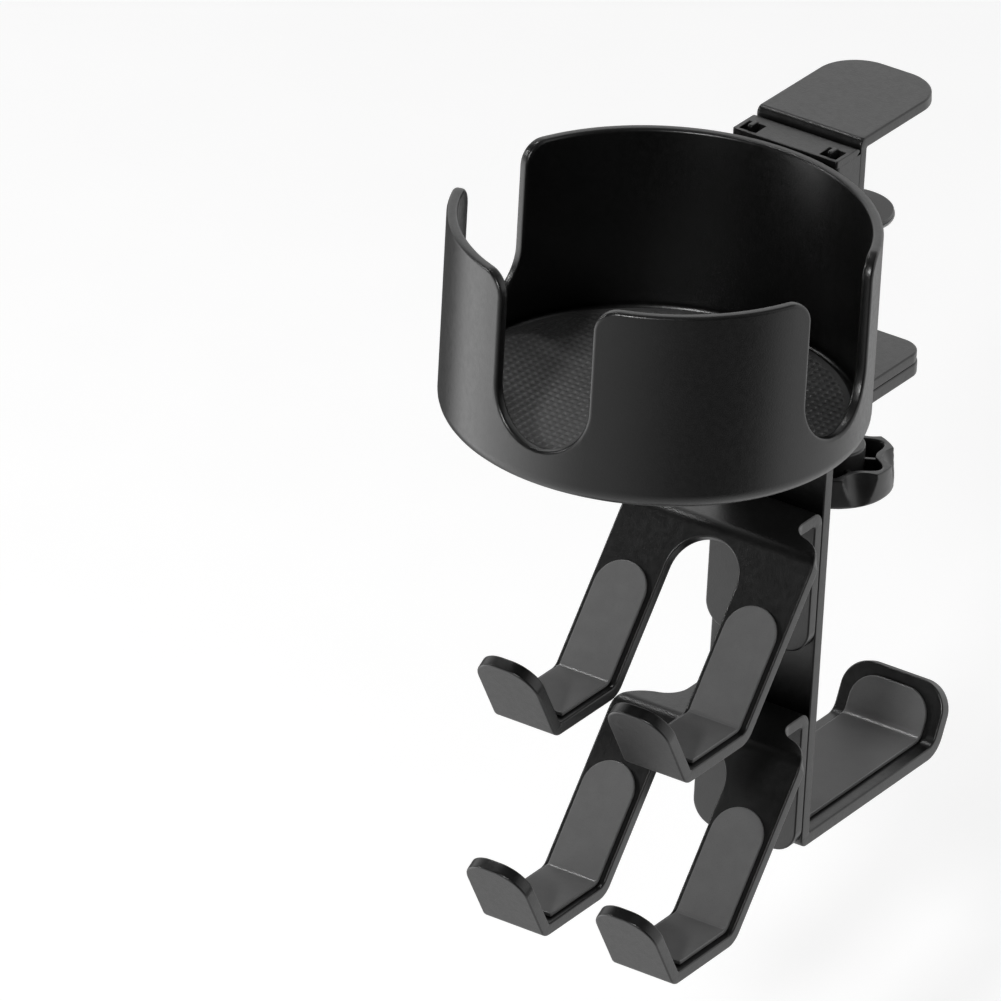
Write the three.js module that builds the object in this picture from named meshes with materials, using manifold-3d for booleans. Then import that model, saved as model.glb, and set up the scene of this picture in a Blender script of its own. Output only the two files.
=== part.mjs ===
// Desk clamp with a slotted cup holder, two twin-arm cradles and a headphone hook.
//
// Millimetres, +Z up. X runs along the desk's front edge, +Y goes in over the desk top.
// The origin is where the clamp screw's axis meets the desk's top face, under the jaw. The
// shapes are drawn from the desk's front edge, y = 0, and the whole assembly is then shifted.
import * as THREE from 'three';
import { mergeVertices } from 'three/addons/utils/BufferGeometryUtils.js';
import Module from 'manifold-3d';

const wasm = await Module();
wasm.setup();

// ---- Driving dimensions ----------------------------------------------------------------------

const FIT = 0.05; // gap left between two faces that touch
const ARC_STEP = THREE.MathUtils.degToRad(15); // facet angle on bends and rounded corners

const STRIP_WIDTH = 27.3; // width of the clamp and hanger strips
const HALF = STRIP_WIDTH / 2;

// Clamp strip: jaw over the desk, web down its edge, arm back underneath it.
const CLAMP_SHEET = 2.65;
const JAW_PAD = 0.5;
const JAW_REACH = 33.4;
const JAW_CORNER = 10;
const ARM_TOP = -60.4;
const ARM_REACH = 31.4;
const ARM_CORNER = 5.5;

// Cup and the folded bracket that carries it.
const CUP_RADIUS = 47.2;
const CUP_WALL = 2.5;
const CUP_RIM = 1.35;
const CUP_HEIGHT = 46.65;
const CUP_Y = -59.7;
const CUP_FOOT_RADIUS = 4.5;
const SLOT_WIDTH = 24;
const SLOT_DEPTH = 36.9;
const RIM_CORNER = 5.5;
const MAT_THICKNESS = 1.5;
const BRACKET_SHEET = 1.8;
const BACKING_SHEET = 1.9;
const BRACKET_TOP = 1.5;
const BRACKET_BOTTOM = -36.3;
const BRACKET_FRONT = CUP_Y + CUP_RADIUS + FIT; // bracket's front face, just behind the cup
const CUP_STUD_HEIGHTS = [-9, -23];
const BRACKET_SCREW_HEIGHTS = [-16, -30];

// Hanger: bent strip bolted under the arm, ending in the headphone hook.
const SHEET = 3.2;
const HANGER_REACH = 31.8;
const HANGER_FRONT = -8.2;
const HANGER_TOP = ARM_TOP - CLAMP_SHEET - FIT;
const HANGER_BOTTOM = -171.4;
const HOOK_OUTER = 49.2; // outer bend of the hook, along Y
const HOOK_LEAN = THREE.MathUtils.degToRad(23);
const HOOK_RISE = 15.7; // length of the hook's tip, along its slope
const HOOK_CORNER = 7;
const SOFT_PAD = 1; // thickness of the soft liners
const HOOK_PAD_MARGIN = 3.4;

// Cradles: one folded plate each, with two arms, a shelf and two leaning lips.
const CRADLE_SHEET = 3;
const CRADLE_PITCH = 50.4;
const CRADLE_BACK = HANGER_FRONT - FIT;
const CRADLE_TOP = -85.5;
const CRADLE_BOTTOM = -121.4;
const RIDGE_Y = -28.9;
const SHELF_BACK = -54.3;
const SHELF_FRONT = -75.7;
const SHELF_Z = CRADLE_BOTTOM + CRADLE_SHEET;
const LIP_LEAN = THREE.MathUtils.degToRad(31);
const LIP_LENGTH = 20.8;
const LIP_CORNER = 6.8;
const CRADLE_HALF = 25.1;
const ARM_WIDTH = 16;
const ARM_CENTRE = CRADLE_HALF - ARM_WIDTH / 2;
const ARM_PAD_MARGIN = 1.4;
const ARM_PAD_START = 14.2; // distance of the liner's round end from the ridge, down the slope
const CRADLE_SCREW_OFFSETS = [9.5, 23.5]; // heights above the back plate's lower edge

// Clamp screw, its bush, knob and pressure foot.
const SCREW_Y = 16.5;
const SCREW_RADIUS = 3;
const RUNNING_BORE = 3.05;
const DESK_THICKNESS = 24.5; // desk gripped in the rest pose
const FOOT_HEIGHT = 3.1;
const FOOT_PAD = 0.8;
const FOOT_RADIUS = 10.4;
const FOOT_NECK_RADIUS = 7.25;
const KNOB_BOSS_TOP = -82.8;
const KNOB_TOP = -85.4;
const KNOB_BOTTOM = -92.7;
const KNOB_RADIUS = 14.3;
const KNOB_FLUTE = 11.2;
const KNOB_BOSS_RADIUS = 7.4;
const BUSH_RADIUS = 4.6;

// Fasteners: countersunk screws through the web, button heads on the hanger, studs on the cup.
const SHANK_RADIUS = 2;
const HEAD_RADIUS = 3.6;
const HEAD_DEPTH = 1.8;
const BUTTON_SHANK = 1.75;
const BUTTON_RADIUS = 3.3;
const BUTTON_HEIGHT = 1.7;
const NUT_RADIUS = 3.9;
const NUT_HEIGHT = 1.8;

// ---- Solids ----------------------------------------------------------------------------------

function toSolid(geometry) {
  const bare = geometry.clone();
  bare.deleteAttribute('normal');
  bare.deleteAttribute('uv');
  const merged = mergeVertices(bare, 1e-4);
  const index = merged.index.array;
  const kept = [];
  for (let i = 0; i < index.length; i += 3) {
    const [a, b, c] = index.slice(i, i + 3);
    if (a !== b && b !== c && c !== a) kept.push(a, b, c);
  }
  return new wasm.Manifold(new wasm.Mesh({
    numProp: 3,
    vertProperties: Float32Array.from(merged.attributes.position.array),
    triVerts: Uint32Array.from(kept),
  }));
}

function toGeometry(solid) {
  const mesh = solid.getMesh();
  const geometry = new THREE.BufferGeometry();
  geometry.setAttribute('position', new THREE.BufferAttribute(mesh.vertProperties, 3));
  geometry.setIndex(new THREE.BufferAttribute(mesh.triVerts, 1));
  geometry.computeVertexNormals();
  return geometry;
}

// Right-handed frame whose local x is the part's X, and whose local y is the given direction.
function planeFrame(origin, along) {
  const x = new THREE.Vector3(1, 0, 0);
  const z = new THREE.Vector3().crossVectors(x, along);
  return new THREE.Matrix4().makeBasis(x, along, z).setPosition(...origin);
}

const PROFILE_FRAME = new THREE.Matrix4().makeBasis(
  new THREE.Vector3(0, 1, 0),
  new THREE.Vector3(0, 0, 1),
  new THREE.Vector3(1, 0, 0),
);

// Closed outline through corners [x, y, radius]; a corner with a radius becomes an arc.
function roundedOutline(corners) {
  const count = corners.length;
  const points = corners.map(([x, y]) => new THREE.Vector2(x, y));
  return points.flatMap((corner, i) => {
    const radius = corners[i][2] ?? 0;
    if (radius === 0) return [corner];
    const before = points[(i + count - 1) % count].clone().sub(corner).normalize();
    const after = points[(i + 1) % count].clone().sub(corner).normalize();
    const halfAngle = Math.acos(before.dot(after)) / 2;
    const reach = radius / Math.tan(halfAngle);
    const middle = before.clone().add(after).normalize();
    const centre = corner.clone().addScaledVector(middle, radius / Math.sin(halfAngle));
    const start = corner.clone().addScaledVector(before, reach).sub(centre);
    const sweep = (Math.PI - 2 * halfAngle) * -Math.sign(before.cross(after));
    const steps = Math.max(2, Math.ceil(Math.abs(sweep) / ARC_STEP));
    const arc = [];
    for (let k = 0; k <= steps; k++) {
      arc.push(start.clone().rotateAround(new THREE.Vector2(), (sweep * k) / steps).add(centre));
    }
    return arc;
  });
}

// Prism of an outline between two heights of a frame's local z.
function prism(corners, low, high, frame = new THREE.Matrix4()) {
  const shape = new THREE.Shape(roundedOutline(corners));
  const geometry = new THREE.ExtrudeGeometry(shape, { depth: high - low, bevelEnabled: false });
  geometry.translate(0, 0, low).applyMatrix4(frame);
  return toSolid(geometry);
}

function box(low, high) {
  const size = high.map((value, i) => value - low[i]);
  const centre = high.map((value, i) => (value + low[i]) / 2);
  return toSolid(new THREE.BoxGeometry(...size).translate(...centre));
}

function turned(profile, segments = 28) {
  const points = profile.map(([radius, height]) => new THREE.Vector2(radius, height));
  return toSolid(new THREE.LatheGeometry(points, segments).rotateX(Math.PI / 2));
}

// Cylinder along Z through (x, y).
function post(x, y, radius, low, high, segments = 28) {
  const outline = [[0, low], [radius, low], [radius, high], [0, high]];
  return turned(outline, segments).translate([x, y, 0]);
}

// ---- Bent strips -----------------------------------------------------------------------------

// The path's copy at a distance to its left, mitred at each corner.
function parallel(path, distance) {
  const points = path.map(([y, z]) => new THREE.Vector2(y, z));
  return points.map((point, i) => {
    const into = points[i].clone().sub(points[i - 1] ?? points[i]).normalize();
    const out = (points[i + 1] ?? points[i]).clone().sub(points[i]).normalize();
    const first = i === 0 ? out : into;
    const second = i === points.length - 1 ? into : out;
    const sum = new THREE.Vector2(-first.y - second.y, first.x + second.x);
    const shifted = point.clone().addScaledVector(sum, distance / (1 + first.dot(second)));
    return [shifted.x, shifted.y];
  });
}

function turnsLeft(path, i) {
  const [a, b, c] = [path[i - 1], path[i], path[i + 1]];
  return (b[0] - a[0]) * (c[1] - b[1]) > (b[1] - a[1]) * (c[0] - b[0]);
}

// Outline of a bent strip. The path [y, z, inner radius, outer radius] runs along one face,
// and the strip's thickness lies to the left of it.
function stripOutline(path, thickness) {
  const other = parallel(path, thickness);
  const inside = (i) => path[i][2] ?? 0;
  const outside = (i) => path[i][3] ?? 0;
  const bend = (i) => i > 0 && i < path.length - 1;
  const face = path.map(([y, z], i) => [y, z, bend(i) && !turnsLeft(path, i) ? inside(i) : outside(i)]);
  const back = other.map(([y, z], i) => [y, z, bend(i) && turnsLeft(path, i) ? inside(i) : outside(i)]);
  return [...face, ...back.reverse()].reverse();
}

function bentStrip(path, thickness, halfWidth, centre = 0) {
  const outline = stripOutline(path, thickness);
  return prism(outline, centre - halfWidth, centre + halfWidth, PROFILE_FRAME);
}

// Removes what lies beyond a strip's rounded or chamfered end. The corners [x, y, radius] give
// the end's outline on the +x side, and are mirrored.
function endTrim(frame, corners, depth, centre = 0) {
  const margin = 3;
  const [[side, start]] = corners;
  const top = corners.at(-1)[1] + margin;
  const base = start - margin;
  const right = corners.map(([x, y, radius]) => [centre + x, y, radius]);
  const left = corners.map(([x, y, radius]) => [centre - x, y, radius]).reverse();
  const outline = [
    [centre - side - margin, base], [centre - side - margin, top],
    [centre + side + margin, top], [centre + side + margin, base],
    [centre + side, base], ...right, ...left, [centre - side, base],
  ];
  return prism(outline.reverse(), -depth, depth, frame);
}

function roundEnd(frame, halfWidth, end, radius, depth) {
  return endTrim(frame, [[halfWidth, end, radius]], depth);
}

// ---- Fasteners -------------------------------------------------------------------------------

// Each fastener is drawn with its seat at the origin and its shank along -Z.
const countersunk = {
  shape: (length) => [
    [0, -length], [SHANK_RADIUS, -length], [SHANK_RADIUS, -HEAD_DEPTH],
    [HEAD_RADIUS, -0.2], [HEAD_RADIUS, 0], [0, 0],
  ],
  hole: (length) => [
    [0, -length - 1], [SHANK_RADIUS + 0.1, -length - 1], [SHANK_RADIUS + 0.1, -HEAD_DEPTH],
    [HEAD_RADIUS + 0.1, -0.2], [HEAD_RADIUS + 0.1, 2], [0, 2],
  ],
  socketFloor: -1.2,
};

const buttonHead = {
  shape: (length) => [
    [0, -length], [BUTTON_SHANK, -length], [BUTTON_SHANK, FIT], [BUTTON_RADIUS, FIT],
    [BUTTON_RADIUS, 0.3], [BUTTON_RADIUS * 0.85, BUTTON_HEIGHT * 0.7],
    [BUTTON_RADIUS * 0.5, BUTTON_HEIGHT], [0, BUTTON_HEIGHT],
  ],
  hole: (length) => [
    [0, -length - 3], [BUTTON_SHANK + 0.1, -length - 3], [BUTTON_SHANK + 0.1, 2], [0, 2],
  ],
  socketFloor: 0.5,
};

const stud = {
  shape: (length) => [[0, -length], [SHANK_RADIUS, -length], [SHANK_RADIUS, 0], [0, 0]],
  hole: (length) => [
    [0, -length - 1], [SHANK_RADIUS + 0.1, -length - 1], [SHANK_RADIUS + 0.1, 1], [0, 1],
  ],
};

const facing = {
  front: new THREE.Euler(Math.PI / 2, 0, 0), // head towards -Y
  back: new THREE.Euler(-Math.PI / 2, 0, 0), // head towards +Y
  down: new THREE.Euler(Math.PI, 0, 0), // head towards -Z
};

// A screw's place, length and direction, with the cutter for the holes it passes through.
function screwSite(name, style, position, rotation, length) {
  const frame = new THREE.Matrix4().makeRotationFromEuler(rotation).setPosition(...position);
  const hole = turned(style.hole(length), 16).transform(frame.elements);
  return { name, style, position, rotation, length, hole };
}

// Studs welded to the cup's back, so that no screw shows inside it.
const cupStuds = CUP_STUD_HEIGHTS.map((z, i) => screwSite(
  `cup_stud_${['upper', 'lower'][i]}`, stud, [0, BRACKET_FRONT, z], facing.front, 5.8,
));
const bracketScrews = BRACKET_SCREW_HEIGHTS.map((z, i) => screwSite(
  `bracket_screw_${['upper', 'lower'][i]}`, countersunk, [0, -FIT, z], facing.back, 6.3,
));
const hangerScrews = [-1, 1].map((side) => screwSite(
  `hanger_screw_${side < 0 ? 'left' : 'right'}`, buttonHead,
  [side * 8.5, 4.6, HANGER_TOP - SHEET], facing.down, 5.3,
));
function cradleScrews(label, drop) {
  return CRADLE_SCREW_OFFSETS.map((offset, i) => screwSite(
    `${label}_cradle_screw_${['lower', 'upper'][i]}`, buttonHead,
    [0, HANGER_FRONT + SHEET, CRADLE_BOTTOM + offset - drop], facing.back, 5.5,
  ));
}
const upperScrews = cradleScrews('upper', 0);
const lowerScrews = cradleScrews('lower', CRADLE_PITCH);

function drill(solid, sites) {
  return sites.reduce((left, site) => left.subtract(site.hole), solid);
}

// ---- Clamp -----------------------------------------------------------------------------------

const up = new THREE.Vector3(0, 0, 1);
const down = new THREE.Vector3(0, 0, -1);
const inward = new THREE.Vector3(0, 1, 0);

function clampBody() {
  const desk = [
    [ARM_REACH, ARM_TOP],
    [0, ARM_TOP, 0.6, 2.2],
    [0, JAW_PAD, 0.5, 1.6],
    [JAW_REACH, JAW_PAD],
  ];
  const level = planeFrame([0, 0, 0], inward);
  const trimDepth = 6;
  const jawTrim = roundEnd(level, HALF, JAW_REACH, JAW_CORNER, trimDepth);
  const armTrim = roundEnd(planeFrame([0, 0, ARM_TOP], inward), HALF, ARM_REACH, ARM_CORNER, trimDepth);
  const bushHole = post(0, SCREW_Y, BUSH_RADIUS + FIT, ARM_TOP - 5, ARM_TOP + 5);
  const strip = bentStrip(desk, CLAMP_SHEET, HALF).subtract(jawTrim).subtract(armTrim);
  return toGeometry(drill(strip.subtract(bushHole), [...bracketScrews, ...hangerScrews]));
}

function jawPad() {
  const margin = 1.2;
  const side = HALF - margin;
  const end = JAW_REACH - margin;
  const outline = [[-side, 2, 1], [side, 2, 1], [side, end, 9], [-side, end, 9]];
  return toGeometry(prism(outline, 0, JAW_PAD - 0.02));
}

function threadBush() {
  const low = HANGER_TOP - SHEET;
  return toGeometry(turned([
    [RUNNING_BORE, low], [BUSH_RADIUS, low], [BUSH_RADIUS, ARM_TOP],
    [RUNNING_BORE, ARM_TOP], [RUNNING_BORE, low],
  ]));
}

// ---- Cup and bracket -------------------------------------------------------------------------

const LEDGE_HOLE = { x: 10.4, y: -9.1, half: 2.15 };
const LUG_LENGTH = 3.2;
const LUG_RISE = 0.9;

function cupBracket() {
  const back = -CLAMP_SHEET - FIT;
  const front = BRACKET_FRONT + 2 * FIT;
  const outline = [[-HALF, back], [-HALF, front, 1.2], [HALF, front, 1.2], [HALF, back]];
  const outside = prism(outline, BRACKET_BOTTOM, BRACKET_TOP);
  const hollow = box(
    [-HALF + BRACKET_SHEET, front + BRACKET_SHEET, BRACKET_BOTTOM - 1],
    [HALF - BRACKET_SHEET, back - BRACKET_SHEET, BRACKET_TOP - BRACKET_SHEET],
  );
  const { x, y, half } = LEDGE_HOLE;
  const ledgeHoles = [-x, x].map((at) => box([at - half, y - half, -4], [at + half, y + half, 2]));
  const drilled = drill(outside.subtract(hollow), [...cupStuds, ...bracketScrews]);
  return toGeometry(ledgeHoles.reduce((left, hole) => left.subtract(hole), drilled));
}

// Plate inside the bracket that the cup's nuts pull against. Two lugs rise through the ledge.
function backingPlate() {
  const front = BRACKET_FRONT + 3 * FIT + BRACKET_SHEET;
  const lugHalf = 0.55;
  const low = BRACKET_BOTTOM + 2;
  const high = BRACKET_TOP - BRACKET_SHEET - 0.1;
  const plate = box([-11, front, low], [11, front + BACKING_SHEET, high]);
  const lugs = [-1, 1].map((side) => box(
    [side * LEDGE_HOLE.x - lugHalf, front, high - 1],
    [side * LEDGE_HOLE.x + lugHalf, front + LUG_LENGTH, BRACKET_TOP + LUG_RISE],
  ));
  const joined = lugs.reduce((left, lug) => left.add(lug), plate);
  return toGeometry(drill(joined, cupStuds));
}

// Outline of one U slot, flaring to round corners at the rim. u is sideways, v is up.
function slotOutline() {
  const half = SLOT_WIDTH / 2;
  const above = CUP_RIM + 2;
  const floor = CUP_RIM - SLOT_DEPTH;
  const flare = half + RIM_CORNER;
  return [
    [-flare - 2, above], [-flare - 2, CUP_RIM], [-half, CUP_RIM, RIM_CORNER],
    [-half, floor, half - 0.4], [half, floor, half - 0.4],
    [half, CUP_RIM, RIM_CORNER], [flare + 2, CUP_RIM], [flare + 2, above],
  ];
}

function cupShell() {
  const bottom = CUP_RIM - CUP_HEIGHT;
  const inner = CUP_RADIUS - CUP_WALL;
  const steps = 5;
  const foot = Array.from({ length: steps + 1 }, (_, i) => {
    const angle = (Math.PI / 2) * (i / steps);
    return [
      CUP_RADIUS - CUP_FOOT_RADIUS * (1 - Math.sin(angle)),
      bottom + CUP_FOOT_RADIUS * (1 - Math.cos(angle)),
    ];
  });
  const body = turned([
    [0, bottom], ...foot, [CUP_RADIUS, CUP_RIM], [inner, CUP_RIM],
    [inner, bottom + CUP_WALL + 1.5], [inner - 1.5, bottom + CUP_WALL], [0, bottom + CUP_WALL],
  ], 72);
  // Each slot is cut from the middle outwards: towards -Y, then towards -X and +X.
  const slots = [0, -1, 1].map((turn) => {
    const frame = planeFrame([0, 0, 0], up)
      .premultiply(new THREE.Matrix4().makeRotationZ((turn * Math.PI) / 2));
    return prism(slotOutline(), 10, CUP_RADIUS + 5, frame);
  });
  const slotted = slots.reduce((left, slot) => left.subtract(slot), body);
  return toGeometry(slotted.translate([0, CUP_Y, 0]));
}

function cupMat() {
  const bottom = CUP_RIM - CUP_HEIGHT + CUP_WALL + FIT;
  const radius = CUP_RADIUS - CUP_WALL - 2;
  return toGeometry(turned([
    [0, bottom], [radius, bottom], [radius, bottom + MAT_THICKNESS - 0.4],
    [radius - 0.4, bottom + MAT_THICKNESS], [0, bottom + MAT_THICKNESS],
  ], 48).translate([0, CUP_Y, 0]));
}

// ---- Hanger ----------------------------------------------------------------------------------

const hookDirection = [Math.sin(HOOK_LEAN), Math.cos(HOOK_LEAN)];
const hangerFace = [
  [HANGER_REACH, HANGER_TOP],
  [HANGER_FRONT, HANGER_TOP, 0.5, 3.4],
  [HANGER_FRONT, HANGER_BOTTOM, 0.3, 2.4],
  [HOOK_OUTER, HANGER_BOTTOM, 3.2, 6.4],
  [HOOK_OUTER + HOOK_RISE * hookDirection[0], HANGER_BOTTOM + HOOK_RISE * hookDirection[1]],
];

function hookFrame() {
  const along = new THREE.Vector3(0, ...hookDirection);
  return planeFrame([0, HOOK_OUTER, HANGER_BOTTOM], along);
}

function hanger() {
  const flangeTrim = roundEnd(planeFrame([0, 0, HANGER_TOP], inward), HALF, HANGER_REACH, ARM_CORNER, 6);
  const tipTrim = roundEnd(hookFrame(), HALF, HOOK_RISE, HOOK_CORNER, 6);
  const bushHole = post(0, SCREW_Y, BUSH_RADIUS + FIT, HANGER_TOP - 6, HANGER_TOP + 6);
  const strip = bentStrip(hangerFace, SHEET, HALF).subtract(flangeTrim).subtract(tipTrim);
  return toGeometry(drill(strip.subtract(bushHole), [...hangerScrews, ...upperScrews, ...lowerScrews]));
}

// Soft liner over the hook's shelf and tip.
function hookPad() {
  const liner = parallel(hangerFace.slice(2), SHEET + FIT);
  liner[0][0] = HANGER_FRONT + SHEET + 0.6;
  liner[1].push(2.2, 3.2);
  const last = liner.at(-1);
  const backOff = 2.6;
  last[0] -= backOff * hookDirection[0];
  last[1] -= backOff * hookDirection[1];
  const side = HALF - HOOK_PAD_MARGIN;
  const strip = bentStrip(liner, SOFT_PAD, side);
  const tipTrim = roundEnd(hookFrame(), side, HOOK_RISE - backOff, 6.5, 9);
  const near = planeFrame([0, liner[0][0], HANGER_BOTTOM], inward.clone().negate());
  return toGeometry(strip.subtract(tipTrim).subtract(roundEnd(near, side, 0, 3, 9)));
}

// ---- Cradles ---------------------------------------------------------------------------------

const lipDirection = [-Math.sin(LIP_LEAN), Math.cos(LIP_LEAN)];
const cradleFace = [
  [CRADLE_BACK, CRADLE_BOTTOM],
  [CRADLE_BACK, CRADLE_TOP, 0.8, 3.4],
  [RIDGE_Y, CRADLE_TOP, 1.6, 4.4],
  [SHELF_BACK, SHELF_Z, 2.6, 5.4],
  [SHELF_FRONT, SHELF_Z, 0.8, 3.6],
  [SHELF_FRONT + LIP_LENGTH * lipDirection[0], SHELF_Z + LIP_LENGTH * lipDirection[1]],
];
const slopeUp = new THREE.Vector3(0, RIDGE_Y - SHELF_BACK, CRADLE_TOP - SHELF_Z).normalize();
const slopeFrame = () => planeFrame([0, RIDGE_Y, CRADLE_TOP], slopeUp);
const lipFrame = () => planeFrame([0, SHELF_FRONT, SHELF_Z], new THREE.Vector3(0, ...lipDirection));

// Cuts the plate's sides back to the neck, with a flare out to the arms.
function neckTrim(side) {
  const shoulder = RIDGE_Y + 6.4;
  const beyond = CRADLE_HALF + 4;
  const outline = [
    [side * HALF, -2], [side * HALF, shoulder + 1.6, 6], [side * CRADLE_HALF, shoulder - 2.4, 10.5],
    [side * CRADLE_HALF, shoulder - 12], [side * beyond, shoulder - 12], [side * beyond, -2],
  ];
  return prism(side > 0 ? outline.reverse() : outline, CRADLE_BOTTOM - 5, CRADLE_TOP + 5);
}

// Opening between the two arms: a round-topped slot that runs out through the lips.
function armGap() {
  const half = CRADLE_HALF - ARM_WIDTH;
  const top = -3.1;
  return prism([[-half, -90], [half, -90], [half, top, half - 0.2], [-half, top, half - 0.2]], -8, 45, slopeFrame());
}

function cradlePlate(sites) {
  const strip = bentStrip(cradleFace, CRADLE_SHEET, CRADLE_HALF);
  const heel = roundEnd(planeFrame([0, CRADLE_BACK, CRADLE_BOTTOM], down), HALF, 0, 6, 5);
  const half = ARM_WIDTH / 2;
  const lips = [-ARM_CENTRE, ARM_CENTRE].map(
    (x) => endTrim(lipFrame(), [[half, LIP_LENGTH, LIP_CORNER]], 6, x),
  );
  const cuts = [neckTrim(-1), neckTrim(1), armGap(), heel, ...lips];
  return drill(cuts.reduce((left, cut) => left.subtract(cut), strip), sites);
}

// Soft liner on one arm: round end on the slope, over the bend and out to the lip.
function armPad(centre) {
  const liner = parallel(cradleFace, -FIT).slice(2, 5);
  liner[1].push(1.4, 2.6);
  liner[2][0] += 2.4;
  const half = ARM_WIDTH / 2 - ARM_PAD_MARGIN;
  const strip = bentStrip(liner.reverse(), SOFT_PAD, half, centre);
  const start = -ARM_PAD_START;
  const roundTop = endTrim(slopeFrame(), [[half, start, half - 0.1]], 4, centre);
  const above = prism(
    [[centre - 12, start], [centre + 12, start], [centre + 12, 12], [centre - 12, 12]], -4, 6, slopeFrame(),
  );
  return toGeometry(strip.subtract(above).subtract(roundTop));
}

// ---- Screw, knob and foot --------------------------------------------------------------------

const FOOT_TOP = -DESK_THICKNESS - FOOT_PAD;
const SOCKET_DEPTH = 2.3;

function clampScrew() {
  const top = FOOT_TOP - FOOT_HEIGHT + SOCKET_DEPTH - 0.15;
  const bottom = KNOB_BOTTOM + 2.6;
  return toGeometry(turned([
    [0, bottom], [SCREW_RADIUS, bottom], [SCREW_RADIUS, top - 0.5], [SCREW_RADIUS - 0.5, top], [0, top],
  ]));
}

function pressureFoot() {
  const low = FOOT_TOP - FOOT_HEIGHT;
  const flat = FOOT_TOP - 0.02;
  return toGeometry(turned([
    [RUNNING_BORE, low], [FOOT_NECK_RADIUS, low], [FOOT_RADIUS, flat - 0.6], [FOOT_RADIUS, flat],
    [0, flat], [0, low + SOCKET_DEPTH], [RUNNING_BORE, low + SOCKET_DEPTH], [RUNNING_BORE, low],
  ], 36));
}

function footPad() {
  return toGeometry(post(0, 0, FOOT_RADIUS - 0.3, FOOT_TOP, -DESK_THICKNESS, 36));
}

// Six-lobed outline: narrow lobes with wide hollow flutes between them.
const FLUTE_RADIUS = 5.2;

// Grip flutes lean outwards on the way down and run out at the knob's lower edge.
function flute(turn) {
  const lean = Math.atan2(KNOB_RADIUS - KNOB_FLUTE, KNOB_TOP - KNOB_BOTTOM);
  return post(0, 0, FLUTE_RADIUS, -20, 5, 36)
    .rotate([0, -THREE.MathUtils.radToDeg(lean), 0])
    .translate([KNOB_FLUTE + FLUTE_RADIUS, 0, KNOB_TOP])
    .rotate([0, 0, turn]);
}

// Outline of the pocket between the boss and the lobed rim.
function pocketOutline() {
  const wall = 1.5;
  const count = 60;
  return Array.from({ length: count }, (_, i) => {
    const angle = (2 * Math.PI * i) / count;
    const lobe = (1 + Math.cos(6 * angle)) / 2;
    const radius = KNOB_FLUTE + (KNOB_RADIUS - KNOB_FLUTE) * lobe ** 1.3 - wall;
    return [radius * Math.cos(angle), radius * Math.sin(angle)];
  });
}

function knob() {
  const chamfer = 1.4;
  const floor = KNOB_BOTTOM + 2;
  const blank = turned([
    [0, KNOB_BOTTOM], [KNOB_RADIUS - chamfer, KNOB_BOTTOM], [KNOB_RADIUS, KNOB_BOTTOM + chamfer],
    [KNOB_RADIUS, KNOB_TOP], [0, KNOB_TOP],
  ], 60);
  const turns = Array.from({ length: 6 }, (_, i) => 30 + 60 * i);
  const body = turns.reduce((left, turn) => left.subtract(flute(turn)), blank);
  const boss = post(0, 0, KNOB_BOSS_RADIUS, floor - 1, KNOB_BOSS_TOP);
  const ribs = turns.slice(0, 3).map((turn) => box(
    [-KNOB_RADIUS, -0.6, floor - 1], [KNOB_RADIUS, 0.6, KNOB_TOP],
  ).rotate([0, 0, turn]));
  const pocket = [boss, ...ribs].reduce(
    (left, part) => left.subtract(part),
    prism(pocketOutline(), floor, KNOB_TOP + 1),
  );
  const bore = post(0, 0, SCREW_RADIUS + FIT, KNOB_BOTTOM + 2.5, KNOB_TOP + 5);
  return toGeometry(body.subtract(pocket).add(boss).subtract(bore));
}

// ---- Assembly --------------------------------------------------------------------------------

const powderCoat = { color: 0x151517, roughness: 0.45, metalness: 0.3 };
const rubber = { color: 0x3a3a3c, roughness: 0.9, metalness: 0 };
const greyFoot = { color: 0x8c8c8e, roughness: 0.85, metalness: 0 };
const zincBlack = { color: 0x1c1c1e, roughness: 0.35, metalness: 0.8 };
const mouldedPlastic = { color: 0x121214, roughness: 0.4, metalness: 0 };

function piece(name, geometry, finish) {
  const mesh = new THREE.Mesh(geometry, new THREE.MeshStandardMaterial(finish));
  mesh.name = name;
  return mesh;
}

function screwMesh({ name, style, position, rotation, length }) {
  const blank = turned(style.shape(length), 16);
  const socketFloor = style.socketFloor ?? 0;
  const mesh = piece(name, toGeometry(blank.subtract(post(0, 0, 1.3, socketFloor, 3, 6))), zincBlack);
  mesh.position.set(...position);
  mesh.rotation.copy(rotation);
  return mesh;
}

function cradle(label, sites, drop) {
  const raised = (site) => ({ ...site, hole: site.hole.translate([0, 0, drop]) });
  const group = new THREE.Group();
  group.position.z = -drop;
  group.add(
    piece(`${label}_cradle`, toGeometry(cradlePlate(sites.map(raised))), powderCoat),
    piece(`${label}_cradle_pad_left`, armPad(-ARM_CENTRE), rubber),
    piece(`${label}_cradle_pad_right`, armPad(ARM_CENTRE), rubber),
  );
  return group;
}

// Nut on a screw's shank, its near face at a distance behind the screw's seat.
function nutMesh({ name, position, rotation }, distance) {
  const blank = post(0, 0, NUT_RADIUS, -distance - NUT_HEIGHT, -distance, 6);
  const bore = post(0, 0, SHANK_RADIUS + 0.1, -distance - 3, -distance + 1, 16);
  const mesh = piece(name.replace(/screw|stud/, 'nut'), toGeometry(blank.subtract(bore)), zincBlack);
  mesh.position.set(...position);
  mesh.rotation.copy(rotation);
  return mesh;
}

const CUP_NUT_DISTANCE = 4 * FIT + BRACKET_SHEET + BACKING_SHEET;
const BRACKET_NUT_DISTANCE = CLAMP_SHEET + 2 * FIT + BRACKET_SHEET;

const driveGroup = new THREE.Group();
driveGroup.position.y = SCREW_Y;
driveGroup.add(
  piece('clamp_screw', clampScrew(), zincBlack),
  piece('knob', knob(), mouldedPlastic),
  piece('pressure_foot', pressureFoot(), greyFoot),
  piece('foot_pad', footPad(), rubber),
  piece('thread_bush', threadBush(), zincBlack),
);

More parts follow.
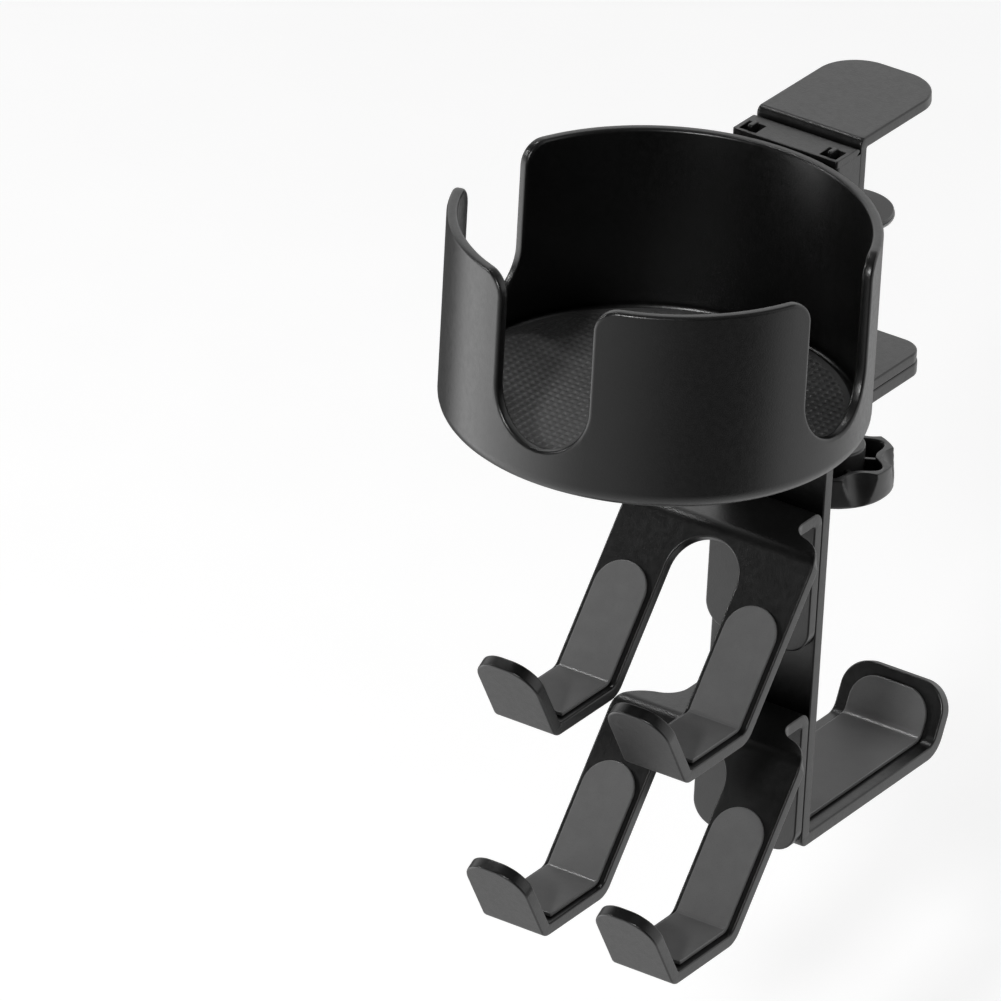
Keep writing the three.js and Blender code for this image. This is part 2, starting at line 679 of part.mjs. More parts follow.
const assembly = new THREE.Group();
assembly.position.y = -SCREW_Y;
assembly.add(
  piece('clamp_body', clampBody(), powderCoat),
  piece('jaw_pad', jawPad(), rubber),
  piece('cup_bracket', cupBracket(), powderCoat),
  piece('cup_backing_plate', backingPlate(), powderCoat),
  piece('cup_shell', cupShell(), powderCoat),
  piece('cup_mat', cupMat(), rubber),
  piece('hanger', hanger(), powderCoat),
  piece('headphone_pad', hookPad(), rubber),
  cradle('upper', upperScrews, 0),
  cradle('lower', lowerScrews, CRADLE_PITCH),
  driveGroup,
  ...[...cupStuds, ...bracketScrews, ...hangerScrews, ...upperScrews, ...lowerScrews].map(screwMesh),
  ...cupStuds.map((site) => nutMesh(site, CUP_NUT_DISTANCE)),
  ...bracketScrews.map((site) => nutMesh(site, BRACKET_NUT_DISTANCE)),
);

const clampCupHolder = new THREE.Group();
clampCupHolder.add(assembly);

export default clampCupHolder;
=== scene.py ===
"""Looks for the desk clamp with a slotted cup holder, twin-arm cradles and a headphone hook.

Every shape is drawn in millimetres in the CAD frame and scaled to metres as its mesh is made.
"""

import math

import bmesh
import bpy
from mathutils import Matrix, Vector


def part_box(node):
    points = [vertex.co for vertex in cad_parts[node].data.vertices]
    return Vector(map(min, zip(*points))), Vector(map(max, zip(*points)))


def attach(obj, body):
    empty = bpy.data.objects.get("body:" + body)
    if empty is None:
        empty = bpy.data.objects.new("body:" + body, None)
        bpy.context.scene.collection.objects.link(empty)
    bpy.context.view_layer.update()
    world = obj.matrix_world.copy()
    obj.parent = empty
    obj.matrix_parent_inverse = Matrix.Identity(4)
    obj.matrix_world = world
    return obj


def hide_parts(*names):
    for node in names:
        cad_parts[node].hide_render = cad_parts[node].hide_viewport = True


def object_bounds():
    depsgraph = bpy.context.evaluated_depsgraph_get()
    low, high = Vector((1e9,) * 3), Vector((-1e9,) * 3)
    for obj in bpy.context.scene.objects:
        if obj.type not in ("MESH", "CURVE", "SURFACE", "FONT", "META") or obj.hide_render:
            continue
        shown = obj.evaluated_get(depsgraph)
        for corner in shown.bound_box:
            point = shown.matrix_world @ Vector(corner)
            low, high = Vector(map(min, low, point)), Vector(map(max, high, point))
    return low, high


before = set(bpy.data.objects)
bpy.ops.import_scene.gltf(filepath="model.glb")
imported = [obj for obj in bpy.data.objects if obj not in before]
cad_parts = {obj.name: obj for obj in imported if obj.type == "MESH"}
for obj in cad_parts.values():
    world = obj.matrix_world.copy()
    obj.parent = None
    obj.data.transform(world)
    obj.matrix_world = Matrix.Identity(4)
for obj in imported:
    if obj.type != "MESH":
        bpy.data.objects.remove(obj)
cad_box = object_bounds()

MM = 0.001
CURVE_STEP = math.radians(5)  # turn between two facets of a bend or a rounded corner


# ---- Where the CAD parts are -----------------------------------------------------------------

def cad(node):
    """Lowest and highest corners of a CAD node, in millimetres."""
    low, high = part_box(node)
    return low / MM, high / MM


def cad_centre(node):
    low, high = cad(node)
    return (low + high) / 2


# ---- Outlines --------------------------------------------------------------------------------

def rounded(corners):
    """Closed outline through (x, y, radius) corners; a corner with a radius becomes an arc."""
    points = [Vector(corner[:2]) for corner in corners]
    radii = [corner[2] if len(corner) > 2 else 0 for corner in corners]
    outline = []
    for i, (corner, radius) in enumerate(zip(points, radii)):
        if radius == 0:
            outline.append(corner)
            continue
        arc = Arc(points[i - 1], corner, points[(i + 1) % len(points)], radius)
        steps = max(3, math.ceil(abs(arc.sweep) / CURVE_STEP))
        outline.extend(arc.at(k / steps) for k in range(steps + 1))
    return outline


class Arc:
    """The arc of a radius that rounds the corner between two straight runs."""

    def __init__(self, before, corner, after, radius):
        into = (before - corner).normalized()
        out = (after - corner).normalized()
        half = into.angle(out) / 2
        self.reach = radius / math.tan(half)
        self.centre = corner + (into + out).normalized() * (radius / math.sin(half))
        self.start = corner + into * self.reach - self.centre
        turn = into.x * out.y - into.y * out.x
        self.sweep = -math.copysign(math.pi - 2 * half, turn)
        self.length = radius * abs(self.sweep)

    def at(self, share):
        angle = self.sweep * share
        cos, sin = math.cos(angle), math.sin(angle)
        x, y = self.start
        return self.centre + Vector((x * cos - y * sin, x * sin + y * cos))


class Run:
    """A straight run between two points."""

    def __init__(self, start, end):
        self.start, self.end = start, end
        self.length = (end - start).length

    def at(self, share):
        return self.start.lerp(self.end, share)


def circle(x, y, radius, steps=32):
    """A round hole's outline, which runs clockwise."""
    angles = [-2 * math.pi * k / steps for k in range(steps)]
    return [Vector((x + radius * math.cos(a), y + radius * math.sin(a))) for a in angles]


def moved_in(outline, distances):
    """The outline moved to its left; distances[i] is for the edge that leaves point i."""
    moved = []
    for i, point in enumerate(outline):
        into = (point - outline[i - 1]).normalized()
        out = (outline[(i + 1) % len(outline)] - point).normalized()
        first = Vector((-into.y, into.x))
        second = Vector((-out.y, out.x))
        a, b = distances[i - 1], distances[i]
        cross = first.x * second.y - first.y * second.x
        if abs(cross) < 1e-3:
            moved.append(point + first * (a + b) / 2)
            continue
        step = Vector((a * second.y - b * first.y, b * first.x - a * second.x)) / cross
        moved.append(point + step)
    return moved


# ---- Bent strips -----------------------------------------------------------------------------

class Bend:
    """Side view of a bent strip: corners (y, z, inner radius, outer radius) along one face.

    The strip's thickness lies to the left of that face.
    """

    def __init__(self, corners, thickness):
        self.thickness = thickness
        face = [Vector(corner[:2]) for corner in corners]
        back = self.parallel(face, thickness)
        self.face, self.back = [], []
        self.reach = [0] * len(face)
        for i in range(len(face)):
            if 0 < i < len(face) - 1:
                inner, outer = corners[i][2:]
                left = self.turns_left(face, i)
                near = Arc(*face[i - 1:i + 2], outer if left else inner)
                far = Arc(*back[i - 1:i + 2], inner if left else outer)
                self.reach[i] = near.reach
                self.add_run(near.at(0), far.at(0))
                self.face.append(near)
                self.back.append(far)
            elif i:
                self.add_run(face[i], back[i])
            else:
                self.end = (face[0], back[0])
        self.starts = [0]
        for piece in self.face:
            self.starts.append(self.starts[-1] + piece.length)
        self.length = self.starts[-1]

    @staticmethod
    def parallel(face, distance):
        moved = []
        for i, point in enumerate(face):
            into = (point - face[i - 1]).normalized() if i else None
            out = (face[i + 1] - point).normalized() if i < len(face) - 1 else None
            into, out = into or out, out or into
            side = Vector((-into.y - out.y, into.x + out.x))
            moved.append(point + side * distance / (1 + into.dot(out)))
        return moved

    @staticmethod
    def turns_left(face, i):
        into, out = face[i] - face[i - 1], face[i + 1] - face[i]
        return into.x * out.y > into.y * out.x

    def add_run(self, face_end, back_end):
        previous = (self.face[-1].at(1), self.back[-1].at(1)) if self.face else self.end
        self.face.append(Run(previous[0], face_end))
        self.back.append(Run(previous[1], back_end))

    def after(self, corner, distance):
        """How far along the face a point lies, a distance past a corner."""
        return self.starts[2 * corner] + distance - self.reach[corner]

    def breaks(self):
        """Places along the face where the flat plate needs an edge, so that its bends are round."""
        places = []
        for i in range(1, len(self.face), 2):
            steps = math.ceil(abs(self.face[i].sweep) / CURVE_STEP)
            start, length = self.starts[i], self.face[i].length
            places += [start + length * k / steps for k in range(steps + 1)]
        return places

    def place(self, across, along, depth):
        i = 0
        while i < len(self.face) - 1 and along > self.starts[i + 1]:
            i += 1
        share = (along - self.starts[i]) / self.face[i].length
        near, far = self.face[i].at(share), self.back[i].at(share)
        y, z = near.lerp(far, depth / self.thickness)
        return Vector((across, y, z))


# ---- Meshes ----------------------------------------------------------------------------------

def edge_profile(thickness, edge, steps=3):
    """(inset, depth) round one face's edge, down the side and round the other face's edge."""
    angles = [math.pi / 2 * k / steps for k in range(steps + 1)]
    near = [(edge * (1 - math.sin(a)), edge * (1 - math.cos(a))) for a in angles]
    return near + [(inset, thickness - depth) for inset, depth in reversed(near)]


def plate(loops, thickness, edge, kept_square=None):
    """A flat closed plate with rounded edges. The first loop is its outline, the rest are holes.

    kept_square(start, end) says which edges of the outline stay square.
    """
    bm = bmesh.new()
    faces_edges = ([], [])
    profile = edge_profile(thickness, edge)
    for loop in loops:
        ends = zip(loop, loop[1:] + loop[:1])
        share = [0 if kept_square and kept_square(start, end) else 1 for start, end in ends]
        rings = []
        for inset, depth in profile:
            flat = moved_in(loop, [inset * s for s in share])
            rings.append([bm.verts.new((p.x, p.y, depth)) for p in flat])
        join_rings(bm, rings)
        for ring, found in ((rings[0], faces_edges[0]), (rings[-1], faces_edges[1])):
            found += [bm.edges.get((a, b)) for a, b in zip(ring, ring[1:] + ring[:1])]
    for found in faces_edges:
        bmesh.ops.triangle_fill(bm, use_beauty=True, edges=found)
    return bm


def join_rings(bm, rings):
    for low, high in zip(rings, rings[1:]):
        count = len(low)
        for k in range(count):
            n = (k + 1) % count
            bm.faces.new((low[k], low[n], high[n], high[k]))


def cut_across(bm, axis, places):
    """Adds edges across a flat plate where it will bend."""
    normal = Vector((0, 0, 0))
    normal[axis] = 1
    for place in places:
        everything = bm.verts[:] + bm.edges[:] + bm.faces[:]
        plane = {"plane_co": normal * place, "plane_no": normal}
        bmesh.ops.bisect_plane(bm, geom=everything, dist=1e-5, **plane)


def sheet(bend, outline, edge, holes=()):
    """A bent plate of a flat outline (across, along)."""
    bm = plate([rounded(outline), *holes], bend.thickness, edge)
    cut_across(bm, 1, bend.breaks())
    for vert in bm.verts:
        vert.co = bend.place(*vert.co)
    return bm


def ring_about_z(bm, radius, height, segments, shape=None):
    """A ring of points; shape(angle) is the share of the radius that is left at an angle."""
    ring = []
    for k in range(segments):
        angle = 2 * math.pi * k / segments
        reach = radius * shape(angle) if shape else radius
        ring.append(bm.verts.new((reach * math.cos(angle), reach * math.sin(angle), height)))
    return ring


def turned(profile, segments=72, shapes=None):
    """A solid turned about Z from (radius, height) points. shapes gives some of the points an
    outline of their own, as a function of the angle."""
    bm = bmesh.new()
    rings = []
    for i, (radius, height) in enumerate(profile):
        if radius == 0:
            rings.append([bm.verts.new((0, 0, height))])
            continue
        rings.append(ring_about_z(bm, radius, height, segments, (shapes or {}).get(i)))
    for low, high in zip(rings, rings[1:]):
        for k in range(segments):
            n = (k + 1) % segments
            lower = [low[k % len(low)], low[n % len(low)]]
            upper = [high[n % len(high)], high[k % len(high)]]
            bm.faces.new(list(dict.fromkeys(lower + upper)))
    return bm


def tube(profile, segments, shapes=None):
    """A closed ring turned about Z, open along its middle."""
    bm = bmesh.new()
    rings = [
        ring_about_z(bm, radius, height, segments, (shapes or {}).get(i))
        for i, (radius, height) in enumerate(profile)
    ]
    join_rings(bm, rings + rings[:1])
    return bm


def soften(points, radius, steps=3):
    """A turned profile with its inner corners rounded."""
    result = [Vector(points[0])]
    for before, corner, after in zip(points, points[1:], points[2:]):
        before, corner, after = Vector(before), Vector(corner), Vector(after)
        size = min(radius, 0.45 * (before - corner).length, 0.45 * (after - corner).length)
        into, out = (before - corner).normalized(), (after - corner).normalized()
        half = into.angle(out) / 2
        arc = Arc(before, corner, after, size * math.tan(half))
        result += [arc.at(k / steps) for k in range(steps + 1)]
    result.append(Vector(points[-1]))
    return [tuple(point) for point in result]


def build(name, bm, material, body="frame", sharp=45, parts=()):
    """Turns a millimetre mesh into a named piece that rides on a body, in place of CAD nodes."""
    bmesh.ops.remove_doubles(bm, verts=bm.verts, dist=1e-4)
    bmesh.ops.recalc_face_normals(bm, faces=bm.faces)
    bmesh.ops.scale(bm, vec=(MM, MM, MM), verts=bm.verts)
    mesh = bpy.data.meshes.new(name)
    bm.to_mesh(mesh)
    bm.free()
    mesh.shade_smooth()
    mesh.set_sharp_from_angle(angle=math.radians(sharp))
    piece = bpy.data.objects.new(name, mesh)
    bpy.context.scene.collection.objects.link(piece)
    mesh.materials.append(material)
    weighted = piece.modifiers.new("even shading", "WEIGHTED_NORMAL")
    weighted.keep_sharp = True
    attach(piece, body)
    if parts:
        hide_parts(*parts)
    return piece


def merged(*meshes):
    """One bmesh holding several closed shells."""
    whole = bmesh.new()
    for part in meshes:
        scratch = bpy.data.meshes.new("scratch")
        part.to_mesh(scratch)
        part.free()
        whole.from_mesh(scratch)
        bpy.data.meshes.remove(scratch)
    return whole


def shifted(bm, offset, rotation=None):
    matrix = Matrix.Translation(Vector(offset))
    if rotation:
        matrix = matrix @ rotation
    bm.transform(matrix)
    return bm


# ---- Materials -------------------------------------------------------------------------------

class Nodes:
    """The node tree of a material or a world, with short calls for the nodes used here."""

    def __init__(self, owner, surface):
        owner.use_nodes = True
        self.owner = owner
        self.tree = owner.node_tree
        self.surface = self.tree.nodes[surface]
        self.coordinates = self.tree.nodes.new("ShaderNodeTexCoord").outputs
        self.place = self.coordinates["Object"]

    def add(self, kind, inputs=None, **settings):
        node = self.tree.nodes.new("ShaderNode" + kind)
        for key, value in settings.items():
            setattr(node, key, value)
        for key, value in (inputs or {}).items():
            self.put(node.inputs[key], value)
        return node

    def put(self, socket, value):
        if isinstance(value, bpy.types.NodeSocket):
            self.tree.links.new(value, socket)
        else:
            socket.default_value = value

    def noise(self, size, detail=2, roughness=0.5):
        """Noise whose features are about size millimetres across."""
        inputs = {"Vector": self.place, "Scale": 1 / (size * MM)}
        inputs.update({"Detail": detail, "Roughness": roughness})
        return self.add("TexNoise", inputs).outputs["Fac"]

    def span(self, value, low, high, start=0.35, end=0.65):
        """value's start..end mapped to low..high."""
        inputs = {"Value": value, "From Min": start, "From Max": end}
        inputs.update({"To Min": low, "To Max": high})
        return self.add("MapRange", inputs).outputs["Result"]

    def mix(self, share, first, second):
        node = self.add("Mix", {"Factor": share}, data_type="RGBA")
        self.put(node.inputs[6], first)
        self.put(node.inputs[7], second)
        return node.outputs[2]

    def plus(self, first, second):
        return self.add("Math", {0: first, 1: second}, operation="ADD").outputs[0]

    def blend(self, share, first, second):
        node = self.add("Mix", {"Factor": share}, data_type="FLOAT")
        self.put(node.inputs[2], first)
        self.put(node.inputs[3], second)
        return node.outputs[0]

    def bump(self, height, strength, distance, below=None):
        inputs = {"Height": height, "Strength": strength, "Distance": distance * MM}
        node = self.add("Bump", inputs)
        if below is not None:
            self.put(node.inputs["Normal"], below)
        return node.outputs["Normal"]

    def set(self, **values):
        for key, value in values.items():
            self.put(self.surface.inputs[key.replace("_", " ")], value)
        return self.owner


def material_nodes(name):
    return Nodes(bpy.data.materials.new(name), "Principled BSDF")


def grey(value, warmth=0.0):
    return (value * (1 + warmth), value, value * (1 - warmth * 0.5), 1)


LEAST_GLOSSY = 0.29  # roughness above which a denoiser smooths the surface, not its reflection
LINER_SHINE = 0.2


def powder_coat(name, shade=0.0024, rough=0.32, grain=0.55):
    """Black powder coat with a fine raised grain. shade is its reflectance."""
    nodes = material_nodes(name)
    cloud = nodes.noise(9, 3)
    fine = nodes.noise(0.42, 2, 0.6)
    speckle = nodes.noise(0.24, 1)
    colour = nodes.mix(nodes.span(cloud, 0, 1), grey(shade * 0.86), grey(shade * 1.18))
    flecked = nodes.mix(nodes.span(speckle, 0, 1, 0.6, 0.8), colour, grey(shade * 3))
    roughness = nodes.span(nodes.noise(1.3, 3), rough - 0.02, rough + 0.04)
    orange_peel = nodes.bump(fine, grain, 0.045)
    normal = nodes.bump(speckle, grain, 0.026, orange_peel)
    return nodes.set(Base_Color=flecked, Roughness=roughness, Normal=normal, Metallic=0.0)


def soft_liner(name, shade=0.12, fold_shine=0.9):
    """Dense foam rubber: flat, dusty and finely pored, and pressed smooth along its folds.

    The folds face halfway between up and forward, so they are found by their normal.
    """
    nodes = material_nodes(name)
    pores = nodes.noise(0.22, 2, 0.7)
    mottle = nodes.noise(3.5, 4)
    colour = nodes.mix(nodes.span(mottle, 0, 1), grey(shade * 0.96), grey(shade * 1.04))
    pitted = nodes.mix(nodes.span(pores, 0.35, 0, 0.3, 0.42), colour, grey(shade * 0.45))
    normal = nodes.bump(pores, 0.35, 0.05)
    upward = nodes.add("SeparateXYZ", {"Vector": nodes.coordinates["Normal"]}).outputs["Z"]
    not_level = nodes.span(upward, 1, 0, 0.96, 0.985)
    fold = nodes.blend(nodes.span(upward, 0, 1, 0.7, 0.8), 0, not_level)
    roughness = nodes.blend(fold, nodes.span(mottle, 0.5, 0.54), LEAST_GLOSSY)
    shine = nodes.blend(fold, LINER_SHINE, fold_shine)
    nodes.set(Specular_IOR_Level=shine)
    return nodes.set(Base_Color=pitted, Roughness=roughness, Normal=normal)


def moulded_plastic(name, shade=0.008, rough=0.32):
    """Smooth moulded plastic with a faint cloudiness from the mould."""
    nodes = material_nodes(name)
    cloud = nodes.noise(4, 3)
    colour = nodes.mix(nodes.span(cloud, 0, 1), grey(shade * 0.9), grey(shade * 1.15))
    texture = nodes.noise(0.3, 2)
    normal = nodes.bump(texture, 0.12, 0.02)
    roughness = nodes.span(nodes.noise(2, 3), rough - 0.03, rough + 0.06)
    return nodes.set(Base_Color=colour, Roughness=roughness, Normal=normal)


def black_oxide(name, shade=0.02, rough=0.33):
    """Blackened steel: dark, oily and a little brighter where it rubs."""
    nodes = material_nodes(name)
    wear = nodes.noise(1.1, 4, 0.65)
    colour = nodes.mix(nodes.span(wear, 0, 1, 0.5, 0.75), grey(shade), grey(shade * 2.6, 0.03))
    normal = nodes.bump(nodes.noise(0.2, 2), 0.15, 0.02)
    roughness = nodes.span(wear, rough + 0.1, rough - 0.04)
    return nodes.set(Base_Color=colour, Roughness=roughness, Normal=normal, Metallic=0.85)


COAT = powder_coat("powder_coat")
# The cup gets a darker copy of the same powder coat: painted shade, standing in for the dim inside
# of the cup.
CUP_COAT_PAINTED_SHADE = powder_coat("powder_coat_cup_painted_shade", shade=0.002, rough=0.305, grain=0.5)
LINER = soft_liner("soft_liner")
MAT_RUBBER = soft_liner("mat_rubber", shade=0.1, fold_shine=LINER_SHINE)
PLASTIC = moulded_plastic("knob_plastic", shade=0.03)
FOOT_PLASTIC = moulded_plastic("foot_plastic", shade=0.3, rough=0.5)
STEEL = black_oxide("black_oxide")


# ---- Clamp -----------------------------------------------------------------------------------

STRIP_HALF = 13.65
CLAMP_SHEET = 2.65
JAW_CORNER = 10
ARM_CORNER = 5.5
SCREW_AXIS = (0, 0)
BUSH_HOLE = 4.65
SHANK_HOLE = 1.85
SINK_HOLE = 3.7
ARM_SETBACK = 2  # how far the arm's end lies behind the jaw's
HANGER_SCREWS = ["hanger_screw_left", "hanger_screw_right"]
EDGE = 0.4  # rounding on the thick sheets' cut edges
THIN_EDGE = 0.2
LINER_EDGE = 0.3


def screw_holes(nodes, along_of, radius):
    """Holes in a flat plate at the screws' places."""
    places = [cad_centre(node) for node in nodes]
    return [circle(place.x, along_of(place), radius, 24) for place in places]


def clamp_body():
    low, high = cad("clamp_body")
    web = low.y + CLAMP_SHEET
    arm = low.z + CLAMP_SHEET
    jaw = high.z - CLAMP_SHEET
    arm_end = high.y - ARM_SETBACK
    bend = Bend([
        (arm_end, arm), (web, arm, 0.6, 2.3), (web, jaw, 0.5, 1.6), (high.y, jaw),
    ], CLAMP_SHEET)
    outline = [
        (-STRIP_HALF, 0, ARM_CORNER), (STRIP_HALF, 0, ARM_CORNER),
        (STRIP_HALF, bend.length, JAW_CORNER), (-STRIP_HALF, bend.length, JAW_CORNER),
    ]
    holes = screw_holes(HANGER_SCREWS, lambda place: arm_end - place.y, SHANK_HOLE)
    holes.append(circle(0, arm_end - SCREW_AXIS[1], BUSH_HOLE, 40))
    sinks = ["bracket_screw_upper", "bracket_screw_lower"]
    holes += screw_holes(sinks, lambda place: bend.after(1, place.z - arm), SINK_HOLE)
    build("clamp", sheet(bend, outline, EDGE, holes), COAT, parts=["clamp_body"])


def jaw_pad():
    low, high = cad("jaw_pad")
    by_web, by_end = 1, JAW_CORNER - 1
    corners = [
        (low.x, low.y, by_web), (high.x, low.y, by_web),
        (high.x, high.y, by_end), (low.x, high.y, by_end),
    ]
    bm = plate([rounded(corners)], high.z - low.z, LINER_EDGE / 2)
    build("jaw_liner", shifted(bm, (0, 0, low.z)), LINER, parts=["jaw_pad"])


# ---- Cup and bracket -------------------------------------------------------------------------

CUP_WALL = 2.5
CUP_EDGE = 0.75
FOOT_RADIUS = 4.5
FLOOR_RADIUS = 1.6
SLOT_HALF = 12
SLOT_DEPTH = 36.9
RIM_CORNER = 5.5
COLUMNS = 160  # facets round the cup
WALL_START = 9  # height above the cup's underside where the straight wall begins
NEAR = 1e-3  # points this close to a line count as on it
ROUND_END = 0.05  # how much less than half its width a round end's radius is, to keep an edge


def slot_corners(middle, rim):
    """One U slot's corners in the unrolled rim, from its far side to its near side."""
    floor = rim - SLOT_DEPTH
    far, near, end = middle + SLOT_HALF, middle - SLOT_HALF, SLOT_HALF - ROUND_END
    return [(far, rim, RIM_CORNER), (far, floor, end), (near, floor, end), (near, rim, RIM_CORNER)]


def cup():
    """The wall is an unrolled band with three slots, wrapped round and welded to a turned foot."""
    low, high = cad("cup_shell")
    radius = (high.x - low.x) / 2
    centre = cad_centre("cup_shell")
    girth = 2 * math.pi * radius
    start = low.z + WALL_START
    corners = [(0, start), (girth, start), (girth, high.z)]
    for turn in (0.75, 0.5, 0.25):
        corners += slot_corners(girth * turn, high.z)
    corners.append((0, high.z))

    def on_seam(a, b):
        upright = abs(a.x - b.x) < NEAR and (a.x < NEAR or a.x > girth - NEAR)
        return upright or max(a.y, b.y) < start + NEAR

    bm = plate([rounded(corners)], CUP_WALL, CUP_EDGE, on_seam)
    cut_across(bm, 0, [girth * k / COLUMNS for k in range(1, COLUMNS)])
    closed_off = [
        face for face in bm.faces
        if all(v.co.y < start + NEAR for v in face.verts)
        or all(v.co.x < NEAR for v in face.verts)
        or all(v.co.x > girth - NEAR for v in face.verts)
    ]
    bmesh.ops.delete(bm, geom=closed_off, context="FACES")
    for vert in bm.verts:
        angle = vert.co.x / radius
        reach = radius - vert.co.z
        vert.co = Vector((reach * math.sin(angle), reach * math.cos(angle), vert.co.y))
    inner = radius - CUP_WALL
    outside = soften([(0, low.z), (radius, low.z), (radius, start)], FOOT_RADIUS, 8)
    floor = low.z + CUP_WALL
    inside = soften([(inner, start), (inner, floor), (0, floor)], FLOOR_RADIUS, 5)
    for profile in (outside, inside):
        base = turned(profile, COLUMNS)
        base.transform(Matrix.Rotation(math.pi / 2, 4, "Z"))
        bm = merged(bm, base)
    build("cup", shifted(bm, (0, centre.y, 0)), CUP_COAT_PAINTED_SHADE, parts=["cup_shell"])


PIP_PITCH = 1.94
PIP_HEIGHT = 0.32
MAT_GRID = 300  # grid lines across the mat
MAT_BORDER = 1.6


def pip(x, y):
    """Height of the mat's soft square pips, 0 in the grooves and 1 on the peaks."""
    turn = math.tau / PIP_PITCH
    return (1 - math.cos(x * turn)) * (1 - math.cos(y * turn)) / 4


def cup_mat():
    """A disc covered in small pips. A square grid is squeezed into the disc, then given a rim."""
    low, high = cad("cup_mat")
    radius = (high.x - low.x) / 2
    centre = cad_centre("cup_mat")
    bm = bmesh.new()
    bmesh.ops.create_grid(bm, x_segments=MAT_GRID, y_segments=MAT_GRID, size=1)
    for vert in bm.verts:
        x, y = vert.co.x, vert.co.y
        square = max(abs(x), abs(y))
        length = math.hypot(x, y)
        squeeze = square / length * radius if length else 0
        x, y = x * squeeze, y * squeeze
        patterned = math.hypot(x, y) < radius - MAT_BORDER
        share = pip(x, y) if patterned else 0.5
        vert.co = Vector((x, y, high.z + PIP_HEIGHT * (share - 1)))
    border = [edge for edge in bm.edges if edge.is_boundary]
    skirt = bmesh.ops.extrude_edge_only(bm, edges=border)["geom"]
    for vert in skirt:
        if isinstance(vert, bmesh.types.BMVert):
            vert.co.z = low.z
    bmesh.ops.holes_fill(bm, edges=[edge for edge in bm.edges if edge.is_boundary], sides=0)
    build("mat", shifted(bm, (0, centre.y, 0)), MAT_RUBBER, sharp=30, parts=["cup_mat"])


BRACKET_SHEET = 1.8
BACKING_SHEET = 1.9
LEDGE_SLOT = 2.15  # half the size of the square slots in the ledge
SLOT_SETBACK = 1.4  # from the folded front's inner face to a slot's middle
EAR_SHEET = 1.1
EAR_DEPTH = 3.2
EAR_ROOT = 2  # how far the ears reach down into the plate
EAR_MIDDLE = 10.4  # from the middle to each ear and its slot
CLEARANCE = 0.1
WALL_GAP = 0.08  # between the ledge and the folded walls under it


def cup_bracket():
    """Folded bracket: a ledge bent from the back plate, and a channel with two side flanges."""
    low, high = cad("cup_bracket")
    back, front, top = high.y, low.y, high.z
    ledge = Bend([
        (back, low.z), (back, top, 0.3, 1.6), (front, top),
    ], BRACKET_SHEET)
    fold = ledge.after(1, 0)
    neck = STRIP_HALF - BRACKET_SHEET - CLEARANCE
    outline = [
        (-neck, 0), (neck, 0), (neck, fold), (STRIP_HALF, fold), (STRIP_HALF, ledge.length, 0.6),
        (-STRIP_HALF, ledge.length, 0.6), (-STRIP_HALF, fold), (-neck, fold),
    ]
    slot_along = ledge.after(1, back - (front + BRACKET_SHEET + SLOT_SETBACK))
    half = LEDGE_SLOT
    square = [(-half, -half), (-half, half), (half, half), (half, -half)]
    holes = []
    for middle in (-EAR_MIDDLE, EAR_MIDDLE):
        holes.append([Vector((middle + across, slot_along + along)) for across, along in square])
    plate_mesh = sheet(ledge, outline, THIN_EDGE, holes)
    wall_end = back - CLEARANCE
    channel = Bend([
        (wall_end, STRIP_HALF), (front, STRIP_HALF, 0.4, 1.4),
        (front, -STRIP_HALF, 0.4, 1.4), (wall_end, -STRIP_HALF),
    ], BRACKET_SHEET)
    height = top - BRACKET_SHEET - WALL_GAP - low.z
    unfolded = [(-height, 0), (-height, channel.length), (0, channel.length), (0, 0)]
    walls = sheet(channel, unfolded, THIN_EDGE)
    for vert in walls.verts:
        across, y, x = vert.co
        vert.co = Vector((x, y, low.z - across))
    build("bracket", merged(plate_mesh, walls), COAT, parts=["cup_bracket"])


def backing_plate():
    """Plate inside the bracket, with two ears that rise through the ledge's slots."""
    low, high = cad("cup_backing_plate")
    back = low.y + BACKING_SHEET
    shoulder = cad("cup_bracket")[1].z - BRACKET_SHEET - CLEARANCE
    corners = [(low.x, low.z), (high.x, low.z), (high.x, shoulder), (low.x, shoulder)]
    outline = rounded([(*corner, 0.5) for corner in corners])
    upright = Matrix.Rotation(math.pi / 2, 4, "X")
    bm = shifted(plate([outline], BACKING_SHEET, THIN_EDGE), (0, back, 0), upright)
    sideways = Matrix.Rotation(math.pi / 2, 4, "Z") @ upright
    for middle in (-EAR_MIDDLE, EAR_MIDDLE):
        ear = rounded([
            (low.y, shoulder - EAR_ROOT), (low.y + EAR_DEPTH, shoulder - EAR_ROOT),
            (low.y + EAR_DEPTH, high.z, 0.9), (low.y, high.z, 0.5),
        ])
        shell = plate([ear], EAR_SHEET, THIN_EDGE)
        bm = merged(bm, shifted(shell, (middle - EAR_SHEET / 2, 0, 0), sideways))
    build("backing_plate", bm, COAT, parts=["cup_backing_plate"])


# ---- Hanger ----------------------------------------------------------------------------------

HANGER_SHEET = 3.2
HANGER_REACH = 15.3
HOOK_BEND = 32.7
HOOK_LEAN = math.radians(23)
HOOK_RISE = 15.7
HOOK_CORNER = 7
LINER_SHEET = 1.0
LINER_GAP = 0.05
HOOK_LINER_MARGIN = 3.4
HOOK_LINER_START = 0.6  # from the hanger's upright
HOOK_LINER_END = 2.6  # short of the hook's tip


def hanger_corners():
    low, high = cad("hanger")
    tip = (HOOK_BEND + HOOK_RISE * math.sin(HOOK_LEAN), low.z + HOOK_RISE * math.cos(HOOK_LEAN))
    return [
        (HANGER_REACH, high.z), (low.y, high.z, 0.5, 3.4), (low.y, low.z, 0.3, 2.4),
        (HOOK_BEND, low.z, 3.2, 6.4), tip,
    ]


